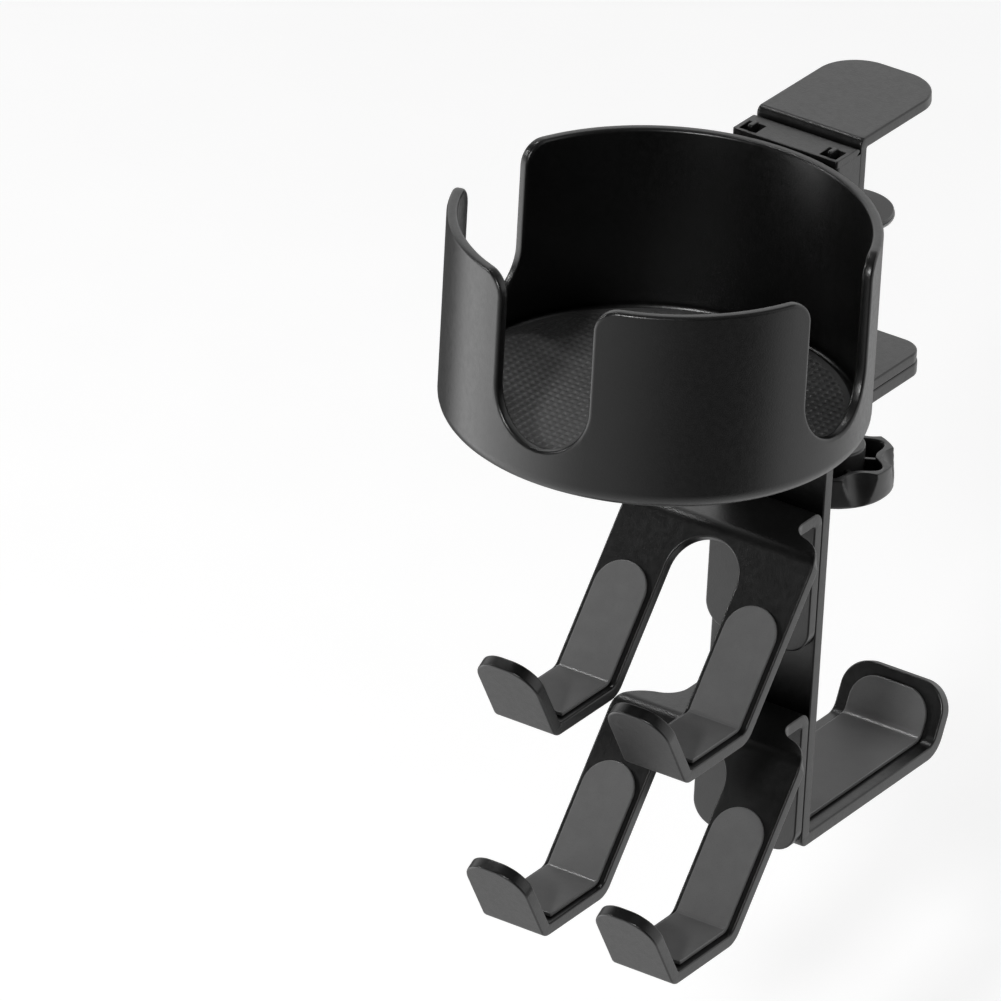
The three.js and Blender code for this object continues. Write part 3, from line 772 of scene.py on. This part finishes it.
def hanger():
    corners = hanger_corners()
    bend = Bend(corners, HANGER_SHEET)
    outline = [
        (-STRIP_HALF, 0, ARM_CORNER), (STRIP_HALF, 0, ARM_CORNER),
        (STRIP_HALF, bend.length, HOOK_CORNER), (-STRIP_HALF, bend.length, HOOK_CORNER),
    ]
    top = corners[0][1]
    holes = []
    for label in ("upper", "lower"):
        screws = [f"{label}_cradle_screw_upper", f"{label}_cradle_screw_lower"]
        holes += screw_holes(screws, lambda place: bend.after(1, top - place.z), SHANK_HOLE)
    holes += screw_holes(HANGER_SCREWS, lambda place: HANGER_REACH - place.y, SHANK_HOLE)
    holes.append(circle(0, HANGER_REACH - SCREW_AXIS[1], BUSH_HOLE, 40))
    build("hanger_strip", sheet(bend, outline, EDGE, holes), COAT, parts=["hanger"])


def headphone_liner():
    """Soft liner over the hook's shelf and tip."""
    corners = hanger_corners()
    face = Bend.parallel([Vector(c[:2]) for c in corners[2:]], HANGER_SHEET + LINER_GAP)
    start = (corners[2][0] + HANGER_SHEET + HOOK_LINER_START, face[0].y)
    tip = face[2] - Vector((math.sin(HOOK_LEAN), math.cos(HOOK_LEAN))) * HOOK_LINER_END
    bend = Bend([start, (*face[1], 2.2, 3.2), tuple(tip)], LINER_SHEET)
    side = STRIP_HALF - HOOK_LINER_MARGIN
    outline = [
        (-side, 0, 3), (side, 0, 3), (side, bend.length, 6.5), (-side, bend.length, 6.5),
    ]
    build("headphone_liner", sheet(bend, outline, LINER_EDGE), LINER, parts=["headphone_pad"])


# ---- Cradles ---------------------------------------------------------------------------------

CRADLE_SHEET = 3.0
CRADLE_HALF = 25.1
CRADLE_BEND = 20.65  # from the back plate to the ridge
SLOPE_FORWARD = 25.4
SHELF_LENGTH = 21.4
LIP_LEAN = math.radians(31)
LIP_LENGTH = 20.8
LIP_CORNER = 6.8
ARM_WIDTH = 16.0
LINER_MARGIN = 1.4
LINER_START = 14.2  # from the ridge, down the slope
LINER_END = 2.4  # short of the lip
GAP_START = 3.1  # from the ridge to the top of the gap between the arms
SHOULDER = -6.4  # from the ridge to the middle of the flare that widens the strip
FLARE_START = -1.6
FLARE_END = 2.4
FLARE_INNER_RADIUS = 6
FLARE_OUTER_RADIUS = 10.5


def cradle_corners(node):
    low, high = cad(node)
    back, top = high.y, high.z
    ridge = back - CRADLE_BEND
    foot = ridge - SLOPE_FORWARD
    front = foot - SHELF_LENGTH
    shelf = low.z + CRADLE_SHEET
    tip = (front - LIP_LENGTH * math.sin(LIP_LEAN), shelf + LIP_LENGTH * math.cos(LIP_LEAN))
    return [
        (back, low.z), (back, top, 0.8, 3.4), (ridge, top, 1.6, 4.4),
        (foot, shelf, 2.6, 5.4), (front, shelf, 0.8, 3.6), tip,
    ]


def cradle(label):
    node = f"{label}_cradle"
    corners = cradle_corners(node)
    bend = Bend(corners, CRADLE_SHEET)
    shoulder = bend.after(2, SHOULDER)
    apex = bend.after(2, GAP_START)
    end = bend.length
    inner = CRADLE_HALF - ARM_WIDTH
    right = [
        (STRIP_HALF, 0, 6),
        (STRIP_HALF, shoulder + FLARE_START, FLARE_INNER_RADIUS),
        (CRADLE_HALF, shoulder + FLARE_END, FLARE_OUTER_RADIUS),
        (CRADLE_HALF, end, LIP_CORNER), (inner, end, LIP_CORNER),
        (inner, apex, inner - 2 * ROUND_END),
    ]
    left = [(-x, along, radius) for x, along, radius in reversed(right)]
    screws = [f"{node}_screw_upper", f"{node}_screw_lower"]
    holes = screw_holes(screws, lambda place: place.z - corners[0][1], SHANK_HOLE)
    build(f"{label}_cradle_plate", sheet(bend, right + left, EDGE, holes), COAT, parts=[node])
    for side, hand in ((-1, "left"), (1, "right")):
        cradle_liner(f"{node}_pad_{hand}", corners, side * (CRADLE_HALF - ARM_WIDTH / 2))


def cradle_liner(node, corners, middle):
    """Soft liner on one arm: round end on the slope, over the bend and out to the lip."""
    slope_end = Vector(corners[3][:2])
    slope = (slope_end - Vector(corners[2][:2])).normalized()
    start = Vector(corners[2][:2]) + slope * LINER_START
    lip = Vector((corners[4][0] + LINER_END, corners[4][1]))
    face = Bend.parallel([start, slope_end, lip], -LINER_GAP)
    # The liner's thickness is to the left, so its run goes from the lip up the slope.
    bend = Bend([tuple(face[2]), (*face[1], 1.6, 2.6), tuple(face[0])], LINER_SHEET)
    half = ARM_WIDTH / 2 - LINER_MARGIN
    left, right, end = middle - half, middle + half, half - ROUND_END
    outline = [
        (left, 0, 0.5), (right, 0, 0.5), (right, bend.length, end), (left, bend.length, end),
    ]
    build(node.replace("pad", "liner"), sheet(bend, outline, LINER_EDGE), LINER, parts=[node])


# ---- Screw, knob and foot --------------------------------------------------------------------

SCREW_RADIUS = 3.0
THREAD_PITCH = 1.0
THREAD_DEPTH = 0.55
THREAD_FADE = 0.6  # length over which the thread runs out at each end
FLANK_SLOPE = 1.25  # above 1, it leaves a flat crest
BORE = SCREW_RADIUS + 0.1
BUSH_BORE = SCREW_RADIUS + 0.04


def clamp_screw():
    """A real M6 x 1 thread: each ring's points lie on the helix's profile."""
    low, high = cad("clamp_screw")
    around, rows = 48, 12  # points round the screw, and rings in each turn of the thread
    steps = round((high.z - low.z) * rows / THREAD_PITCH)
    bm = bmesh.new()
    rings = []
    for row in range(steps + 1):
        z = low.z + (high.z - low.z) * row / steps
        taper = min(1, (high.z - z) / THREAD_FADE, (z - low.z) / THREAD_FADE)
        ring = []
        for k in range(around):
            phase = (z / THREAD_PITCH - k / around) % 1
            groove = 1 - min(1, abs(2 * phase - 1) * FLANK_SLOPE)
            radius = SCREW_RADIUS - THREAD_DEPTH * max(groove, 1 - taper)
            angle = 2 * math.pi * k / around
            ring.append(bm.verts.new((radius * math.cos(angle), radius * math.sin(angle), z)))
        rings.append(ring)
    join_rings(bm, rings)
    bm.faces.new(rings[0])
    bm.faces.new(rings[-1])
    build("spindle_thread", bm, STEEL, body="spindle", sharp=80, parts=["clamp_screw"])


LOBES = 6
LOBE_TURN = 2 * math.pi / LOBES
KNOB_FLUTE = 11.2  # radius at the bottom of a flute, at the rim's top
FLUTE_RADIUS = 5.2
KNOB_WALL = 1.5
KNOB_BOSS = 7.4
KNOB_CHAMFER = 1.4
RIM_HEIGHT = 7.3
POCKET_REACH = 12.8  # radius of the pocket in a lobe
POCKET_FLOOR = 2  # above the knob's underside
BORE_FLOOR = 2.5  # above the knob's underside
RIB_HALF = 0.6
RIB_DROP = 0.9  # from the rim down to a rib's top
RIB_REACH = 11
RIB_ROOT = 0.5  # how far a rib reaches into the boss and the floor


def fluted(radius, flute):
    """Share of the radius left at each angle, where six round flutes reach in to a radius."""
    middle = flute + FLUTE_RADIUS

    def share(angle):
        off = abs(angle % LOBE_TURN - LOBE_TURN / 2)
        half_chord = FLUTE_RADIUS ** 2 - (middle * math.sin(off)) ** 2
        if half_chord <= 0:
            return 1
        return min(1, (middle * math.cos(off) - math.sqrt(half_chord)) / radius)

    return share


def pocket(angle):
    """Outline of the pocket between the boss and the rim, as a share of its reach on a lobe."""
    lobe = (1 + math.cos(LOBES * angle)) / 2
    least = (KNOB_FLUTE - KNOB_WALL) / POCKET_REACH
    return least + (1 - least) * lobe ** 1.3


def knob():
    """Lobed grip whose flutes lean out and fade on the way down, with a ribbed pocket on top."""
    low, high = cad("knob")
    radius = (high.x - low.x) / 2
    rim = low.z + RIM_HEIGHT
    floor = low.z + POCKET_FLOOR
    bore_floor = low.z + BORE_FLOOR
    wall_start = low.z + KNOB_CHAMFER
    wall_rows = 10
    side = [
        (radius, wall_start + (rim - wall_start) * k / wall_rows) for k in range(1, wall_rows)
    ]
    lower = soften([(0, low.z), (radius, low.z), side[0]], KNOB_CHAMFER)
    upper = soften([
        side[-1], (radius, rim), (POCKET_REACH, rim), (POCKET_REACH, floor), (KNOB_BOSS, floor),
        (KNOB_BOSS, high.z), (BORE, high.z), (BORE, bore_floor), (0, bore_floor),
    ], 0.5)
    profile = lower[:-1] + side[:-1] + upper
    shapes = {}
    for i, (reach, height) in enumerate(profile):
        if reach > POCKET_REACH + 0.75:
            risen = (height - low.z) / RIM_HEIGHT
            shapes[i] = fluted(reach, KNOB_FLUTE + (radius - KNOB_FLUTE) * (1 - risen))
        elif reach > KNOB_BOSS + 1:
            shapes[i] = pocket
    bm = turned(profile, 180, shapes)
    ribs = []
    root, foot, top = KNOB_BOSS - RIB_ROOT, floor - RIB_ROOT, rim - RIB_DROP
    outline = [(root, foot), (RIB_REACH, foot), (RIB_REACH, top), (root, top)]
    upright = Matrix.Rotation(math.pi / 2, 4, "X")
    for k in range(LOBES):
        rib = plate([rounded(outline)], 2 * RIB_HALF, 0.25)
        turn = Matrix.Rotation(LOBE_TURN * (k + 0.5), 4, "Z")
        ribs.append(shifted(shifted(rib, (0, RIB_HALF, 0), upright), (0, 0, 0), turn))
    build("knob_grip", merged(bm, *ribs), PLASTIC, body="spindle", parts=["knob"])


def pressure_foot():
    low, high = cad("pressure_foot")
    radius = (high.x - low.x) / 2
    neck = radius * 0.7
    socket = low.z + 2.3
    profile = soften([
        (0, socket), (BORE, socket), (BORE, low.z), (neck - 1, low.z), (neck, low.z + 0.4),
        (radius - 0.2, high.z - 0.8), (radius, high.z), (0, high.z),
    ], 0.3)
    build("foot_cup", turned(profile), FOOT_PLASTIC, body="foot", parts=["pressure_foot"])


def foot_pad():
    low, high = cad("foot_pad")
    radius = (high.x - low.x) / 2
    profile = soften([(0, low.z), (radius, low.z), (radius, high.z), (0, high.z)], 0.25)
    build("foot_liner", turned(profile), LINER, body="foot", parts=["foot_pad"])


def thread_bush():
    low, high = cad("thread_bush")
    radius = (high.x - low.x) / 2
    profile = [(BUSH_BORE, low.z), (radius, low.z), (radius, high.z), (BUSH_BORE, high.z)]
    build("bush", tube(profile, 64), STEEL, parts=["thread_bush"])


# ---- Fasteners -------------------------------------------------------------------------------

STUD_PITCH = 0.7
STUD_GROOVE = 0.3
STUD_CHAMFER = 0.5
SOCKET_REACH = 1.35  # from a socket's middle to its corners
NUT_BORE = 2.1
NUT_FACE = 3.3
NUT_REACH = 3.9
NUT_CHAMFER = 0.35


def hexagon(angle):
    """Reach of a hexagon's side, as a share of its corner's."""
    return math.cos(math.pi / 6) / math.cos((angle % (math.pi / 3)) - math.pi / 6)


def socket_screw(node, shape, direction):
    """A socket screw with its head towards direction. shape(length) is its turned profile."""
    low, high = cad(node)
    axis = Vector(direction)
    length = abs((high - low).dot(axis))
    corners = shape(length)
    profile = soften(corners, 0.22, 2)
    shapes = {}
    for i, (reach, height) in enumerate(profile):
        if 0 < reach < SOCKET_REACH + 0.1 and height > -length * 0.6:
            shapes[i] = hexagon
    bm = turned(profile, 48, shapes)
    turn = axis.to_track_quat("Z", "Y").to_matrix().to_4x4()
    head_top = max(corner[1] for corner in corners)
    seat = cad_centre(node) + axis * (length / 2 - head_top)
    build(node + "_steel", shifted(bm, seat, turn), STEEL, parts=[node])


def countersunk(length):
    """Profile of a countersunk screw, from its end up to its head's face at height 0."""
    return [
        (0, -length), (1.6, -length), (2, -length + 0.4), (2, -1.8), (3.6, -0.2), (3.6, 0),
        (SOCKET_REACH, 0), (SOCKET_REACH, -1.2), (0, -1.3),
    ]


def button_headed(length):
    """Profile of a button-head screw, whose head stands above height 0."""
    height = 1.7
    end = height - length
    return [
        (0, end), (1.4, end), (1.75, end + 0.35), (1.75, 0.05), (3.3, 0.05), (3.3, 0.4),
        (2.8, 1.15), (1.9, height), (SOCKET_REACH, height), (SOCKET_REACH, 0.5), (0, 0.4),
    ]


def welded_stud(node):
    """A threaded stud on the cup's back, chamfered at its free end."""
    low, high = cad(node)
    middle = cad_centre(node)
    radius = (high.x - low.x) / 2
    length = high.y - low.y
    turns = round(length / STUD_PITCH)
    profile = [(0, 0), (radius, 0)]
    for k in range(turns):
        crest, groove = (k + 0.5) * STUD_PITCH, (k + 1) * STUD_PITCH
        profile += [(radius, crest), (radius - STUD_GROOVE, groove)]
    profile += [(radius - STUD_CHAMFER, length), (0, length)]
    turn = Matrix.Rotation(-math.pi / 2, 4, "X")
    bm = shifted(turned(profile, 40), (0, low.y, middle.z), turn)
    build(node + "_steel", bm, STEEL, parts=[node])


def nut(node):
    """A hexagon nut whose flats lie between two round chamfered faces."""
    low, high = cad(node)
    height = high.y - low.y
    middle = cad_centre(node)
    profile = [
        (NUT_BORE, 0), (NUT_FACE, 0), (NUT_REACH, NUT_CHAMFER),
        (NUT_REACH, height - NUT_CHAMFER), (NUT_FACE, height), (NUT_BORE, height),
    ]
    bm = tube(profile, 48, {2: hexagon, 3: hexagon})
    turn = Matrix.Rotation(-math.pi / 2, 4, "X")
    build(node + "_steel", shifted(bm, (0, low.y, middle.z), turn), STEEL, parts=[node])


def fasteners():
    for place in ("upper", "lower"):
        welded_stud(f"cup_stud_{place}")
        socket_screw(f"bracket_screw_{place}", countersunk, (0, 1, 0))
        socket_screw(f"upper_cradle_screw_{place}", button_headed, (0, 1, 0))
        socket_screw(f"lower_cradle_screw_{place}", button_headed, (0, 1, 0))
        nut(f"cup_nut_{place}")
        nut(f"bracket_nut_{place}")
    for side in ("left", "right"):
        socket_screw(f"hanger_screw_{side}", button_headed, (0, 0, -1))


# ---- Studio ----------------------------------------------------------------------------------

TARGET = Vector((0, -0.0565, -0.060))
CAMERA_AZIMUTH = math.radians(31.6)
CAMERA_ELEVATION = math.radians(27.1)
CAMERA_ROLL = math.radians(3.55)
CAMERA_DISTANCE = 2.895
CAMERA_LENS = 476.3
CAMERA_SHIFT = (-0.199, -0.060)
FLOOR_DROP = 0.12


def toward(azimuth, elevation):
    """Unit vector from the object towards a viewer; azimuth 0 is in front of the cup."""
    flat = math.cos(elevation)
    return Vector((flat * math.sin(azimuth), -flat * math.cos(azimuth), math.sin(elevation)))


def aim(obj, position, target, roll=0.0):
    obj.location = position
    turn = (target - position).to_track_quat("-Z", "Y").to_matrix().to_4x4()
    obj.rotation_euler = (turn @ Matrix.Rotation(roll, 4, "Z")).to_euler()


def camera():
    data = bpy.data.cameras.new("camera")
    data.lens = CAMERA_LENS
    data.sensor_width = 36
    data.shift_x, data.shift_y = CAMERA_SHIFT
    data.clip_start = 0.01
    data.clip_end = 50
    obj = bpy.data.objects.new("camera", data)
    bpy.context.scene.collection.objects.link(obj)
    position = TARGET + toward(CAMERA_AZIMUTH, CAMERA_ELEVATION) * CAMERA_DISTANCE
    aim(obj, position, TARGET, CAMERA_ROLL)
    bpy.context.scene.camera = obj


def soft_light(name, azimuth, elevation, distance, width, height, brightness):
    """A rectangular light of a given surface brightness, aimed at the object."""
    data = bpy.data.lights.new(name, "AREA")
    data.shape = "RECTANGLE"
    data.size, data.size_y = width, height
    data.energy = math.pi * width * height * brightness
    obj = bpy.data.objects.new(name, data)
    bpy.context.scene.collection.objects.link(obj)
    direction = toward(math.radians(azimuth), math.radians(elevation))
    aim(obj, TARGET + direction * distance, TARGET)


def room():
    """The light from all round, which keeps black faces apart from each other.

    Above the horizon it is white behind the object and dark in front. Below, it fades from a
    white wall on the left to a dark one on the right. The camera itself sees white all round.
    """
    world = bpy.data.worlds.new("studio")
    bpy.context.scene.world = world
    nodes = Nodes(world, "Background")
    x, y, z = nodes.add("SeparateXYZ", {"Vector": nodes.coordinates["Generated"]}).outputs
    front_to_back = nodes.span(y, 0.05, 1.15, -0.05, 0.25)
    walls = nodes.blend(nodes.span(z, 0, 1, 0.55, 0.85), front_to_back, 0.12)
    above = nodes.plus(walls, nodes.span(z, 0, 0.25, 0.88, 0.97))
    far_left = nodes.span(x, 2.7, 0.75, -0.78, -0.1)
    in_front = nodes.plus(far_left, nodes.span(x, 0, -0.6, 0.15, 0.7))
    behind = nodes.span(x, 0.12, 1.05, -0.45, 0.1)
    sides = nodes.blend(nodes.span(y, 0, 1, -0.02, 0.22), in_front, behind)
    below = nodes.blend(nodes.span(z, 1, 0, -0.95, -0.6), sides, 0.95)
    lit = nodes.blend(nodes.span(z, 0, 1, -0.1, 0.08), below, above)
    seen = nodes.add("LightPath").outputs["Is Camera Ray"]
    nodes.set(Color=(1, 1, 1, 1), Strength=nodes.blend(seen, lit, 0.95))


def studio():
    floor_z = cad_box[0][2] - FLOOR_DROP
    bm = bmesh.new()
    bmesh.ops.create_grid(bm, x_segments=1, y_segments=1, size=6)
    bmesh.ops.translate(bm, vec=(0, 0, floor_z), verts=bm.verts)
    mesh = bpy.data.meshes.new("floor")
    bm.to_mesh(mesh)
    bm.free()
    floor = bpy.data.objects.new("floor", mesh)
    bpy.context.scene.collection.objects.link(floor)
    nodes = material_nodes("pale_floor")
    tone = nodes.mix(nodes.noise(40, 2), grey(0.5), grey(0.53))
    glow = {"Emission_Color": (1, 1, 1, 1), "Emission_Strength": 0.62}
    mesh.materials.append(nodes.set(Base_Color=tone, Roughness=0.9, **glow))
    floor.visible_glossy = False
    floor.visible_diffuse = False
    floor.visible_shadow = False
    room()
    bpy.context.scene.view_settings.view_transform = "Standard"
    soft_light("key", 14, 27, 1.5, 0.14, 0.14, 180)
    soft_light("left_key", -63, 24, 1.2, 0.12, 0.12, 60)
    soft_light("fold_light", -106, 61, 1.2, 0.12, 0.12, 34)


# ---- Build everything ------------------------------------------------------------------------

clamp_body()
jaw_pad()
cup()
cup_mat()
cup_bracket()
backing_plate()
hanger()
headphone_liner()
cradle("upper")
cradle("lower")
clamp_screw()
knob()
pressure_foot()
foot_pad()
thread_bush()
fasteners()
studio()
camera()
